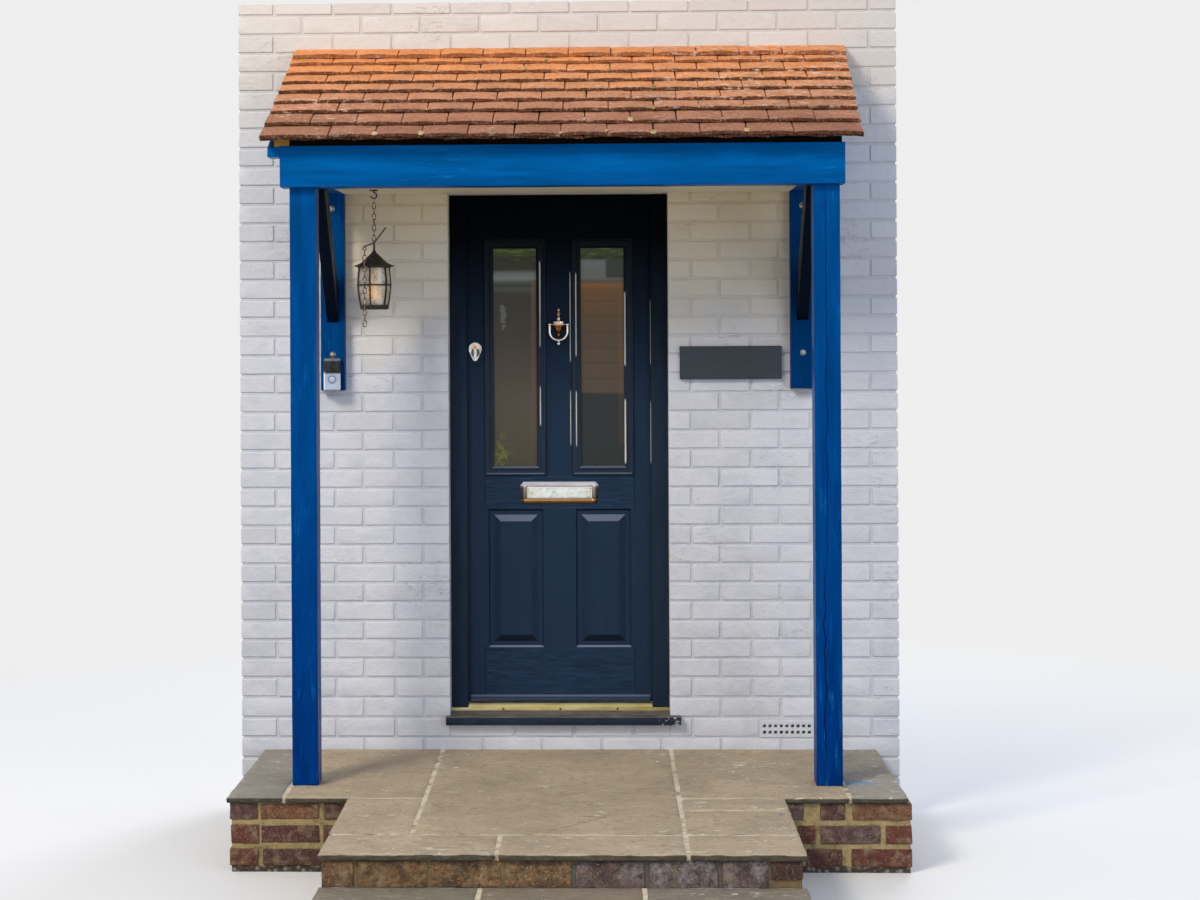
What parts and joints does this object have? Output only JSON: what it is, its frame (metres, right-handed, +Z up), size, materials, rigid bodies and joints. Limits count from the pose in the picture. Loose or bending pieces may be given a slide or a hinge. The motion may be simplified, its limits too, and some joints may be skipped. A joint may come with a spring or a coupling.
{
  "type": "entrance porch",
  "caption": "Tiled lean-to entrance canopy on posts against a painted wall, with a panelled glazed door, letter flap, knocker, lantern, raised stone landing and step.",
  "frame": {"origin": "centre of the footprint at ground level", "axes": "+Z up, the porch faces -Y, +X to the right of someone who looks at the door"},
  "size_m": [2.6, 2.25, 3.225],
  "materials": {
    "painted_brick": "matt white masonry paint",
    "air_brick": "matt white masonry paint",
    "slate": "riven slate",
    "plinth_brick": "rough fired brick with sandy mortar",
    "flagstone": "worn sandstone with lichen",
    "blue_timber": "gloss blue paint on planed timber",
    "bolt_steel": "galvanised",
    "ceiling_paint": "cream paint",
    "batten_wood": "sawn softwood",
    "clay_tile": "weathered plain clay tile",
    "door_paint": "dark blue woodgrain skin",
    "sill_paint": "painted",
    "gold_metal": "gold anodised",
    "hinge_steel": "satin",
    "door_glass": "clear",
    "bright_metal": "polished, slightly worn",
    "bell_case": "black over satin silver",
    "bell_button": "satin",
    "black_iron": "painted, a little rusty",
    "cream_glass": "frosted",
    "bulb_glass": "warm bulb"
  },
  "bodies": {
    "house": {"wall_left": "painted_brick", "wall_right": "painted_brick", "wall_over_door": "painted_brick", "wall_under_door": "painted_brick", "air_brick": "air_brick", "name_plaque": "slate", "landing_plinth": "plinth_brick", "step_plinth": "plinth_brick", "landing_slabs": "flagstone", "step_slabs": "flagstone", "post_left": "blue_timber", "post_right": "blue_timber", "front_beam": "blue_timber", "side_rails": "blue_timber", "wall_post_left": "blue_timber", "wall_post_right": "blue_timber", "brace_left": "blue_timber", "brace_right": "blue_timber", "wall_plate": "blue_timber", "rafters": "blue_timber", "barge_left": "blue_timber", "barge_right": "blue_timber", "side_cheeks": "blue_timber", "coach_bolts": "bolt_steel", "ceiling_board": "ceiling_paint", "tile_battens": "batten_wood", "roof_tiles": "clay_tile", "door_jamb_left": "door_paint", "door_jamb_right": "door_paint", "door_head": "door_paint", "door_sill": "sill_paint", "door_threshold": "gold_metal", "frame_hinges": "hinge_steel", "doorbell": "bell_case", "lantern_hook": "black_iron"},
    "door": {"door_leaf": "door_paint", "door_glass": "door_glass", "glazing_beads": "door_paint", "weather_bar": "door_paint", "letterplate": "bright_metal", "latch_pull": "bright_metal", "knocker_body": "bright_metal", "door_hinges": "hinge_steel"},
    "letter_flap": {"letter_flap": "bright_metal"},
    "knocker_ring": {"knocker_ring": "bright_metal"},
    "bell_button": {"bell_button": "bell_button"},
    "lantern": {"lantern_chain": "black_iron", "lantern_cap": "black_iron", "lantern_cage": "black_iron", "lantern_glass": "cream_glass", "lantern_bulb": "bulb_glass"}
  },
  "joints": [
    {"name": "door_swing", "type": "hinge", "parent": "house", "child": "door", "pos_m": [0.347, 1.015, 1.4], "axis": [0, 0, -1], "range_deg": [0, 90]},
    {"name": "letter_flap_push", "type": "hinge", "parent": "door", "child": "letter_flap", "pos_m": [-0.036, 0.959, 1.2905], "axis": [1, 0, 0], "range_deg": [0, 65], "stiffness_Nm_per_rad": 0.08},
    {"name": "knocker_swing", "type": "hinge", "parent": "door", "child": "knocker_ring", "pos_m": [-0.036, 0.948, 1.946], "axis": [-1, 0, 0], "range_deg": [0, 80]},
    {"name": "bell_press", "type": "slide", "parent": "house", "child": "bell_button", "axis": [0, 1, 0], "range_m": [0, 0.0015], "stiffness_N_per_m": 600},
    {"name": "lantern_swing", "type": "hinge", "parent": "house", "child": "lantern", "pos_m": [-0.734, 0.582, 2.432], "axis": [1, 0, 0], "range_deg": [-20, 20]}
  ]
}
